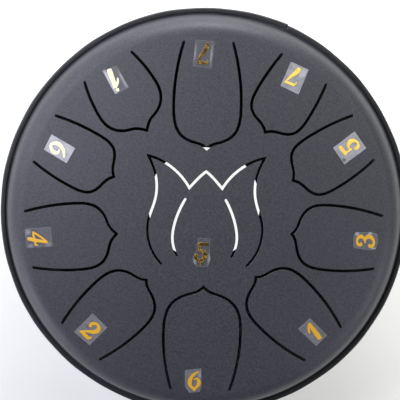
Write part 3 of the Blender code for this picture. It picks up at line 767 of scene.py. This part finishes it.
class Label:
    """A label's place on the dome, and the creased surface of its film."""

    def __init__(self, name, place, crease, seed):
        radius, azimuth, turn = place
        self.name = name
        self.crease = crease / 100
        self.seed = seed
        self.centre = radius * direction(azimuth)
        self.up = -direction(azimuth + turn)
        self.right = np.array([self.up[1], -self.up[0]])

    def lift(self, x, y):
        """Height of the film's crease at a place in millimetres from the label's centre."""
        slow = noise.noise(Vector((x / 7, y / 7, self.seed * 9.1)))
        fold = 1 - abs(noise.noise(Vector((x / 5, y / 9, self.seed * 4.7 + 3)))) * 2
        return self.crease * (0.6 + 0.9 * slow + 0.5 * max(0.0, fold) ** 3)

    def point(self, x, y, height):
        """A point on the label in metres, at a height over the film in millimetres."""
        flat = (self.centre + self.right * x + self.up * y) * MM
        lift = FILM_LIFT + FILM_THICKNESS + (self.lift(x, y) + height) * MM
        normal = np.array([flat[0], flat[1], sqrt(CROWN_RADIUS**2 - flat @ flat)]) / CROWN_RADIUS
        return np.array([flat[0], flat[1], dome_height(flat[0], flat[1])]) + normal * lift


def film_mesh(label, corners):
    """The film: a close net of triangles over its outline, with a thickness and a narrow band along its edge that
    carries a painted highlight.
    """
    outline = []
    for here, there in zip(corners, corners[1:] + corners[:1]):
        here, there = np.array(here), np.array(there)
        steps = max(2, round(np.linalg.norm(there - here) / 0.9))
        for step in range(steps):
            outline.append(here + (there - here) * step / steps)
    outline = np.array(outline)[::-1]
    inner = outline - outward(outline) * 0.35
    spots = np.array([(x, y) for x in np.arange(-9, 9, 0.8) for y in np.arange(-12, 12, 0.8)])
    spots = spots[inside(spots, inner)]
    spots = spots[distances(spots, inner) > 0.35]
    flat = np.concatenate([outline, inner, spots])
    count = len(outline)
    loops = [(here, (here + 1) % count) for here in range(count)]
    loops += [(count + here, count + (here + 1) % count) for here in range(count)]
    found, _, triangles, origins, _, _ = delaunay_2d_cdt([Vector(p) for p in flat], loops, [], 1, 1e-6)
    order = [olds[0] for olds in origins]
    number = np.zeros(len(flat), int)
    number[order] = np.arange(len(order))
    total = len(found)
    points = [label.point(p[0], p[1], 0) for p in found]
    points += [label.point(p[0], p[1], -FILM_THICKNESS / MM) for p in found]
    triangles = np.array([list(t) for t in triangles])
    rim = number[:count]
    faces = [*triangles, *(triangles[:, ::-1] + total), *strip_faces(rim, rim + total)]
    mesh = closed_mesh(f"film_{label.name}", points, faces)
    # Marks the cut edge for a painted highlight: the film turns more opaque and pale grey there.
    edge = np.zeros(2 * total)
    edge[rim] = 1
    edge[rim + total] = 1
    mesh.attributes.new("film_edge_highlight", "FLOAT", "POINT").data.foreach_set("value", edge)
    # Milkiness over the film's points: partly air and glue under the film, partly painted reflection.
    haze, patches = FILM_HAZE_AND_REFLECTION[label.name]
    flat = np.array([tuple(p) for p in found])
    milky_and_reflection = np.full(total, haze)
    for x, y, half_width, half_height, level in patches:
        away = np.hypot((flat[:, 0] - x) / half_width, (flat[:, 1] - y) / half_height)
        milky_and_reflection += (level - milky_and_reflection) * np.clip(2 * (1 - away), 0, 1)
    mesh.attributes.new("film_haze_and_reflection", "FLOAT", "POINT").data.foreach_set("value", np.tile(milky_and_reflection, 2))
    return mesh


def smooth_stroke(knots, steps=7):
    """Points and widths of a pen stroke that runs smoothly through its knots."""
    knots = np.array([2 * np.array(knots[0]) - knots[1], *knots, 2 * np.array(knots[-1]) - knots[-2]])
    samples = []
    for here in range(1, len(knots) - 2):
        before, start, end, after = knots[here - 1 : here + 3]
        for step in range(steps):
            t = step / steps
            rise = (end - before) * t + (2 * before - 5 * start + 4 * end - after) * t * t
            samples.append(start + (rise + (3 * start - before - 3 * end + after) * t**3) / 2)
    samples.append(knots[-2])
    return np.array(samples)


def stroke_parts(label, knots, start, level):
    """Points and faces of one raised stroke of foil."""
    samples = smooth_stroke(knots)
    path, half = samples[:, :2], samples[:, 2] / 2
    along = unit(np.gradient(path, axis=0))
    for end, way in ((0, -1), (-1, 1)):
        tip = []
        for share in (0.35, 0.6, 0.78):
            reach = half[end] * share
            tip.append((path[end] + way * along[end] * reach, half[end] * sqrt(1 - share * share)))
        tip = tip if way > 0 else tip[::-1]
        ends, widths = np.array([t[0] for t in tip]), np.array([t[1] for t in tip])
        spread = np.repeat(along[end][None], 3, axis=0)
        parts = (path, ends) if way > 0 else (ends, path)
        path = np.concatenate(parts)
        half = np.concatenate((half, widths) if way > 0 else (widths, half))
        along = np.concatenate((along, spread) if way > 0 else (spread, along))
    points = []
    for place, way, reach in zip(path, along, half):
        beside = np.array([-way[1], way[0]])
        inset, shoulder = min(0.12, 0.3 * reach), min(0.34, 0.65 * reach)
        section = [(-reach, 0), (inset - reach, 0.65), (shoulder - reach, 1)]
        section += [(-offset, rise) for offset, rise in section[::-1]]
        for offset, rise in section:
            spot = place + beside * offset
            points.append(label.point(spot[0], spot[1], 0.015 + level * 0.01 + rise * FOIL_HEIGHT / MM))
    rings = np.arange(len(path) * 6).reshape(-1, 6) + start
    faces = []
    for near, far in zip(rings, rings[1:]):
        faces += list(strip_faces(near, far))
    # Marks each stroke's sides for painted edge light, strongest at the foot of each side and none on the flat top.
    edges = [1.0, 0.8, 0.0, 0.0, 0.8, 1.0] * len(path)
    return points, faces + [rings[0][::-1], rings[-1]], edges


def foil_mesh(label, numeral, offset, dot):
    """A numeral in foil: its strokes, and the dot of a low or high octave."""
    strokes = [[(x + offset[0], y + offset[1], w) for x, y, w in stroke] for stroke in NUMERALS[numeral]]
    if dot:
        strokes.append([(dot[0] - 0.1, dot[1], 2 * DOT_RADIUS), (dot[0] + 0.1, dot[1], 2 * DOT_RADIUS)])
    points, faces, edges = [], [], []
    for level, stroke in enumerate(strokes):
        more_points, more_faces, more_edges = stroke_parts(label, stroke, len(points), level)
        points += more_points
        faces += more_faces
        edges += more_edges
    mesh = closed_mesh(f"foil_{label.name}", points, faces)
    mesh.attributes.new("foil_edge_shading", "FLOAT", "POINT").data.foreach_set("value", edges)
    return mesh


def label_film():
    """Clear film whose milky patches are partly air and glue and partly painted reflection, with a painted highlight
    along its cut edge.
    """
    material, tree, shader = new_material("label_film")
    place = add_node(tree, "ShaderNodeTexCoord").outputs["Object"]
    mottle = add_node(tree, "ShaderNodeTexNoise", {"Vector": place, "Scale": 210.0, "Detail": 2.0})
    share = value_between(tree, mottle.outputs["Fac"], 0.35, 0.65, 0.88, 1.1)
    # Milkiness that is partly painted reflection: it lays the film's pale grey over the coat below.
    haze = add_node(tree, "ShaderNodeAttribute", attribute_name="film_haze_and_reflection").outputs["Fac"]
    # Painted highlight along the cut edge: the edge mark adds to the film's opacity.
    edge = add_node(tree, "ShaderNodeAttribute", attribute_name="film_edge_highlight").outputs["Fac"]
    milky_and_reflection = add_node(tree, "ShaderNodeMath", {0: haze, 1: share}, operation="MULTIPLY").outputs[0]
    alpha = add_node(tree, "ShaderNodeMath", {0: edge, 1: 0.12, 2: milky_and_reflection}, operation="MULTIPLY_ADD", use_clamp=True)
    tree.links.new(alpha.outputs[0], shader.inputs["Alpha"])
    tone = shade_between(tree, mottle.outputs["Fac"], 0.3, 0.7, (0.53, 0.53, 0.56), (0.60, 0.60, 0.63))
    tree.links.new(tone, shader.inputs["Base Color"])
    tree.links.new(value_between(tree, mottle.outputs["Fac"], 0.3, 0.7, 0.3, 0.45), shader.inputs["Roughness"])
    bump(tree, shader, mottle.outputs["Fac"], 0.05 * MM)
    return material


def number_foil(name, dark, light):
    """Gold hot foil under clear lacquer: warm yellow with a random mottle, and painted light along each stroke's
    edges: a painted highlight where the edge colour is the lighter one, painted shade where it is the darker one.
    """
    material, tree, shader = new_material(name)
    grain = grain_in(tree, 0.9, 2.2)
    edge = add_node(tree, "ShaderNodeAttribute", attribute_name="foil_edge_shading").outputs["Fac"]
    # Painted edge light: the marked edges move towards the second colour, a painted highlight on the pale and
    # dark_reflection tones and painted shade on the gold and bright ones.
    fresh = add_node(tree, "ShaderNodeMath", {0: edge, 1: 0.45, 2: grain["Mottle"]}, operation="MULTIPLY_ADD")
    base = shade_between(tree, fresh.outputs[0], 0.45, 0.90, dark, light)
    tree.links.new(base, shader.inputs["Base Color"])
    tree.links.new(value_between(tree, grain["Speckle"], 0.3, 0.7, 0.30, 0.40), shader.inputs["Roughness"])
    shader.inputs["Metallic"].default_value = 0.15
    shader.inputs["Coat Weight"].default_value = 0.3
    bump(tree, shader, grain["Height"], 0.02 * MM)
    return material


LABEL_FILM = label_film()
# One foil material for each painted lit or shaded tone of the same foil.
foils = {tone: number_foil(f"number_foil_{tone}", *shades) for tone, shades in FOIL_TONES.items()}
for seed, (name, (place, crease, corners, numeral, offset, dot, tone)) in enumerate(LABELS.items()):
    label = Label(name, place, crease, seed)
    new_piece(f"label_film_{name}", film_mesh(label, corners), LABEL_FILM, "label_film", f"number_label_{name}")
    new_piece(f"numeral_{name}", foil_mesh(label, numeral, offset, dot), foils[tone], "number_foil")

# ---- feet ----
# Three moulded rubber feet stand on a circle in the bowl's flat floor. A pan-head hex screw, sunk
# in each foot's recess, passes a washer, the foot and the floor to a nut inside the bowl.

FOOT_SIDES = 72
FOOT_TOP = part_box("foot_1")[1].z
FOOT_RADIUS = 11.0 * MM
FOOT_BASE_RADIUS = 9.5 * MM
FOOT_RECESS_RADIUS = 5.2 * MM
FOOT_RECESS_DEPTH = 6.5 * MM
FOOT_GROOVE = 0.5 * MM


def turned_mesh(name, section, steps, centre):
    """A closed section of (radius, z) turned round an upright axis."""
    turn = np.arange(steps) * tau / steps
    count = len(section)
    points = [(centre[0] + r * cos(a), centre[1] + r * sin(a), z) for a in turn for r, z in section]
    rings = np.arange(steps * count).reshape(-1, count)
    faces = []
    for near, far in zip(rings, np.roll(rings, -1, axis=0)):
        faces += list(strip_faces(near, far))
    return closed_mesh(name, points, faces)


def foot_section():
    """A tapered foot with a rolled shoulder, a ribbed base and a recess for the screw's head."""
    slope = atan2(FOOT_RADIUS - FOOT_BASE_RADIUS, FOOT_TOP)
    section = [(BOLT_HOLE_RADIUS, FOOT_TOP)]
    section += arc((FOOT_RADIUS - 0.9 * MM, FOOT_TOP - 0.9 * MM), 0.9 * MM, pi / 2, -slope, 5)
    section += arc((FOOT_BASE_RADIUS - 0.8 * MM, 0.8 * MM), 0.8 * MM, -slope, -pi / 2, 5)
    for groove in (7.9 * MM, 6.9 * MM, 6.0 * MM):
        section += [(groove + FOOT_GROOVE / 2, 0.0), (groove, FOOT_GROOVE), (groove - FOOT_GROOVE / 2, 0.0)]
    section += arc((FOOT_RECESS_RADIUS + 0.3 * MM, 0.3 * MM), 0.3 * MM, 1.5 * pi, pi, 3)
    section += [(FOOT_RECESS_RADIUS, FOOT_RECESS_DEPTH), (BOLT_HOLE_RADIUS, FOOT_RECESS_DEPTH)]
    return section


def foot_rubber():
    """Matte moulded rubber, dusty where it has stood."""
    material, tree, shader = new_material("foot_rubber")
    grain = grain_in(tree, 0.5, 6.0)
    base = shade_between(tree, grain["Mottle"], 0.4, 0.7, (0.018, 0.018, 0.018), (0.040, 0.039, 0.037))
    tree.links.new(base, shader.inputs["Base Color"])
    tree.links.new(value_between(tree, grain["Speckle"], 0.3, 0.7, 0.68, 0.82), shader.inputs["Roughness"])
    bump(tree, shader, grain["Height"], 0.06 * MM)
    return material


FOOT_RUBBER = foot_rubber()
for number, centre in enumerate(foot_centres, start=1):
    mesh = turned_mesh(f"foot_{number}_moulded", foot_section(), FOOT_SIDES, centre)
    new_piece(f"rubber_foot_{number}", mesh, FOOT_RUBBER, "foot_rubber", f"foot_{number}")

# ---- foot fasteners ----
# Zinc-plated steel, bought in: a stamped washer with a rolled edge, a pan-head screw with a
# hexagon socket and a rolled thread, and a six-sided nut with turned chamfers.

WASHER_RADIUS = 4.5 * MM
SCREW_RADIUS = 2.0 * MM
SCREW_HEAD_RADIUS = 3.6 * MM
SOCKET_FLATS = 2.5 * MM
SOCKET_DEPTH = 1.4 * MM
THREAD_PITCH = 0.7 * MM
THREAD_DEPTH = 0.35 * MM
NUT_FLATS = 7.0 * MM
WASHER_LOW, WASHER_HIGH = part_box("foot_washer_1")
SCREW_LOW, SCREW_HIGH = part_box("foot_screw_1")
NUT_LOW, NUT_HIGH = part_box("foot_nut_1")


def hexagon_reach(flats, angle):
    """Distance from the middle of a hexagon to its side in this direction."""
    return flats / 2 / cos((angle + pi / 6) % (pi / 3) - pi / 6)


def ringed_mesh(name, rings):
    """A closed piece from rings of as many points each, one outside the next, round and back."""
    count = len(rings[0])
    numbers = np.arange(len(rings) * count).reshape(-1, count)
    faces = []
    for near, far in zip(numbers, numbers[1:]):
        faces += list(strip_faces(near, far))
    return closed_mesh(name, np.concatenate(rings), faces), numbers


def washer_section():
    top, bottom, roll = WASHER_HIGH.z, WASHER_LOW.z, 0.25 * MM
    section = [(BOLT_HOLE_RADIUS, top), (WASHER_RADIUS - roll, top)]
    section += arc((WASHER_RADIUS - roll, top - roll), roll, pi / 2, 0, 3)[1:]
    section += [(WASHER_RADIUS, bottom + 0.1 * MM), (WASHER_RADIUS - 0.1 * MM, bottom)]
    return section + [(BOLT_HOLE_RADIUS, bottom)]


def screw_mesh(name, centre):
    """Head with a hexagon socket below, shank with a rolled thread above."""
    steps = 48
    turn = np.arange(steps) * tau / steps
    floor = SCREW_LOW.z + SOCKET_DEPTH
    head_top = SCREW_LOW.z + 2.4 * MM
    hexagon = np.array([hexagon_reach(SOCKET_FLATS, a) for a in turn])
    even = np.ones(steps)
    levels = [(hexagon * 0.02, floor + 0.3 * MM), (hexagon, floor), (hexagon, SCREW_LOW.z + 0.15 * MM)]
    levels += [(hexagon * 1.08, SCREW_LOW.z)]
    rim = arc((SCREW_HEAD_RADIUS - 1.1 * MM, SCREW_LOW.z + 1.1 * MM), 1.1 * MM, -pi / 2, 0, 5)
    levels += [(even * radius, z) for radius, z in rim]
    levels += [(even * SCREW_HEAD_RADIUS, head_top), (even * SCREW_RADIUS, head_top)]
    height = head_top
    while height < SCREW_HIGH.z - 0.5 * MM:
        height += THREAD_PITCH / 6
        phase = (height / THREAD_PITCH - turn / tau) % 1
        levels.append((SCREW_RADIUS - THREAD_DEPTH * np.abs(2 * phase - 1), height))
    levels += [(even * SCREW_RADIUS * 0.75, SCREW_HIGH.z), (even * SCREW_RADIUS * 0.02, SCREW_HIGH.z)]
    rings = []
    for reach, z in levels:
        rings.append(np.stack([centre[0] + reach * np.cos(turn), centre[1] + reach * np.sin(turn), np.full(steps, z)], axis=1))
    count = len(rings) * steps
    numbers = np.arange(count).reshape(-1, steps)
    faces = [list(numbers[0]), list(numbers[-1])]
    for near, far in zip(numbers, numbers[1:]):
        faces += list(strip_faces(near, far))
    return closed_mesh(name, np.concatenate(rings), faces)


def nut_mesh(name, centre):
    """A hexagon with its corners turned off at both faces."""
    steps = 72
    turn = np.arange(steps) * tau / steps
    hexagon = np.array([hexagon_reach(NUT_FLATS, a) for a in turn])
    face = np.minimum(hexagon, NUT_FLATS / 2 * 0.97)
    drop = (hexagon - face) * tan(radians(30))
    even = np.ones(steps)
    hole, wide = even * BOLT_HOLE_RADIUS, even * (BOLT_HOLE_RADIUS + 0.25 * MM)
    bottom, top = even * NUT_LOW.z, even * NUT_HIGH.z
    levels = [(hole, bottom + 0.25 * MM), (wide, bottom), (face, bottom), (hexagon, bottom + drop)]
    levels += [(hexagon, top - drop), (face, top), (wide, top), (hole, top - 0.25 * MM)]
    points = [
        np.stack([centre[0] + reach * np.cos(turn), centre[1] + reach * np.sin(turn), z], axis=1)
        for reach, z in levels
    ]
    numbers = np.arange(len(levels) * steps).reshape(-1, steps)
    faces = []
    for near, far in zip(numbers, np.roll(numbers, -1, axis=0)):
        faces += list(strip_faces(near, far))
    return closed_mesh(name, np.concatenate(points), faces)


def zinc_steel():
    """Bright zinc plating with a faint yellow-blue bloom and fine scratches."""
    material, tree, shader = new_material("zinc_steel")
    grain = grain_in(tree, 0.25, 3.0)
    base = shade_between(tree, grain["Mottle"], 0.35, 0.65, (0.55, 0.57, 0.62), (0.68, 0.66, 0.60))
    tree.links.new(base, shader.inputs["Base Color"])
    tree.links.new(value_between(tree, grain["Speckle"], 0.3, 0.7, 0.24, 0.42), shader.inputs["Roughness"])
    shader.inputs["Metallic"].default_value = 1.0
    bump(tree, shader, grain["Height"], 0.01 * MM)
    return material


ZINC_STEEL = zinc_steel()
for number, centre in enumerate(foot_centres, start=1):
    washer = turned_mesh(f"foot_washer_{number}_stamped", washer_section(), FOOT_SIDES, centre)
    screw = screw_mesh(f"foot_screw_{number}_rolled", centre)
    nut = nut_mesh(f"foot_nut_{number}_turned", centre)
    new_piece(f"washer_{number}", washer, ZINC_STEEL, "zinc_steel", f"foot_washer_{number}")
    new_piece(f"hex_screw_{number}", screw, ZINC_STEEL, "zinc_steel", f"foot_screw_{number}")
    new_piece(f"hex_nut_{number}", nut, ZINC_STEEL, "zinc_steel", f"foot_nut_{number}")

# ---- floor, light and camera ----
# A plain pale floor that glows softly under the drum, a few large soft lamps, and a camera that
# looks down at the playing face with a slight lean.

FLOOR_SIZE = 12.0


def pale_floor():
    """Matte off-white that gives off a little light of its own, more of it under the drum, towards the far side and
    towards the right.
    """
    material, tree, shader = new_material("pale_floor")
    shader.inputs["Base Color"].default_value = (0.80, 0.80, 0.74, 1)
    shader.inputs["Roughness"].default_value = 0.9
    shader.inputs["Specular IOR Level"].default_value = 0.1
    place = add_node(tree, "ShaderNodeTexCoord").outputs["Object"]
    reach = add_node(tree, "ShaderNodeVectorMath", {0: place}, operation="LENGTH").outputs["Value"]
    # A painted pool of light under the drum, where its shadow would fall.
    spot = value_between(tree, reach, 0.06, 0.12, 0.58, 0.0)
    ways = add_node(tree, "ShaderNodeSeparateXYZ", {"Vector": place}).outputs
    # Painted light: the glow grows towards the far side and towards the right, lifting the drum's shadow on the right.
    far = value_between(tree, ways["Y"], -0.16, 0.0, 0.08, 0.30)
    right = value_between(tree, ways["X"], -0.16, 0.16, -0.04, 0.18)
    even = add_node(tree, "ShaderNodeMath", {0: far, 1: right}, operation="ADD").outputs[0]
    glow = add_node(tree, "ShaderNodeMath", {0: even, 1: spot}, operation="ADD").outputs[0]
    tree.links.new(glow, shader.inputs["Emission Strength"])
    shader.inputs["Emission Color"].default_value = (1, 1, 1, 1)
    return material


floor_mesh = bpy.data.meshes.new("floor")
half = FLOOR_SIZE / 2
floor_mesh.from_pydata([(-half, -half, 0), (half, -half, 0), (half, half, 0), (-half, half, 0)], [], [(0, 1, 2, 3)])
floor_mesh.materials.append(pale_floor())
floor = bpy.data.objects.new("floor", floor_mesh)
bpy.context.scene.collection.objects.link(floor)

# Soft boxes round the drum: azimuth, elevation, power and colour
LAMP_DISTANCE = 1.7
LAMP_SIZE = 0.9
LAMPS = {
    "upper_left_box": (150, 48, 21.0, (0.95, 0.96, 1.12)),
    "low_left_box": (210, 12, 13.0, (0.97, 0.97, 1.14)),
    "low_upper_left_box": (150, 12, 8.5, (0.98, 0.98, 1.08)),
    "upper_right_box": (30, 48, 7.0, (1.02, 1.04, 0.85)),
    "lower_right_box": (330, 30, 11.0, (0.97, 0.97, 1.12)),
    "low_top_box": (90, 12, 30.0, (0.98, 0.98, 1.04)),
}
LAMP_TARGET = Vector((0, 0, RIM_HEIGHT))
for name, (azimuth, elevation, power, colour) in LAMPS.items():
    lamp = bpy.data.lights.new(name, "AREA")
    lamp.size = LAMP_SIZE
    lamp.energy = power
    lamp.color = colour
    holder = bpy.data.objects.new(name, lamp)
    flat = direction(azimuth) * cos(radians(elevation))
    away = Vector((*flat, sin(radians(elevation))))
    holder.location = LAMP_TARGET + away * LAMP_DISTANCE
    holder.rotation_euler = away.to_track_quat("Z", "Y").to_euler()
    bpy.context.scene.collection.objects.link(holder)

world = bpy.data.worlds.new("studio")
world.use_nodes = True
world.node_tree.nodes["Background"].inputs["Color"].default_value = (0.95, 0.97, 1.0, 1)
world.node_tree.nodes["Background"].inputs["Strength"].default_value = 0.02
bpy.context.scene.world = world
bpy.context.scene.view_settings.view_transform = "Standard"

CAMERA_PLACE = Vector((0, 0.0838, RIM_HEIGHT + 1.0))
CAMERA_TARGET = Vector((-0.003, 0.0094, RIM_HEIGHT))
camera_data = bpy.data.cameras.new("camera")
camera_data.sensor_width = 36
camera_data.lens = 120.53
camera_data.clip_start = 0.01
camera = bpy.data.objects.new("camera", camera_data)
camera.location = CAMERA_PLACE
view_line = (CAMERA_PLACE - CAMERA_TARGET).normalized()
side_line = Vector((0, 1, 0)).cross(view_line).normalized()
up_line = view_line.cross(side_line)
camera.rotation_euler = Matrix((side_line, up_line, view_line)).transposed().to_euler()
bpy.context.scene.collection.objects.link(camera)
bpy.context.scene.camera = camera
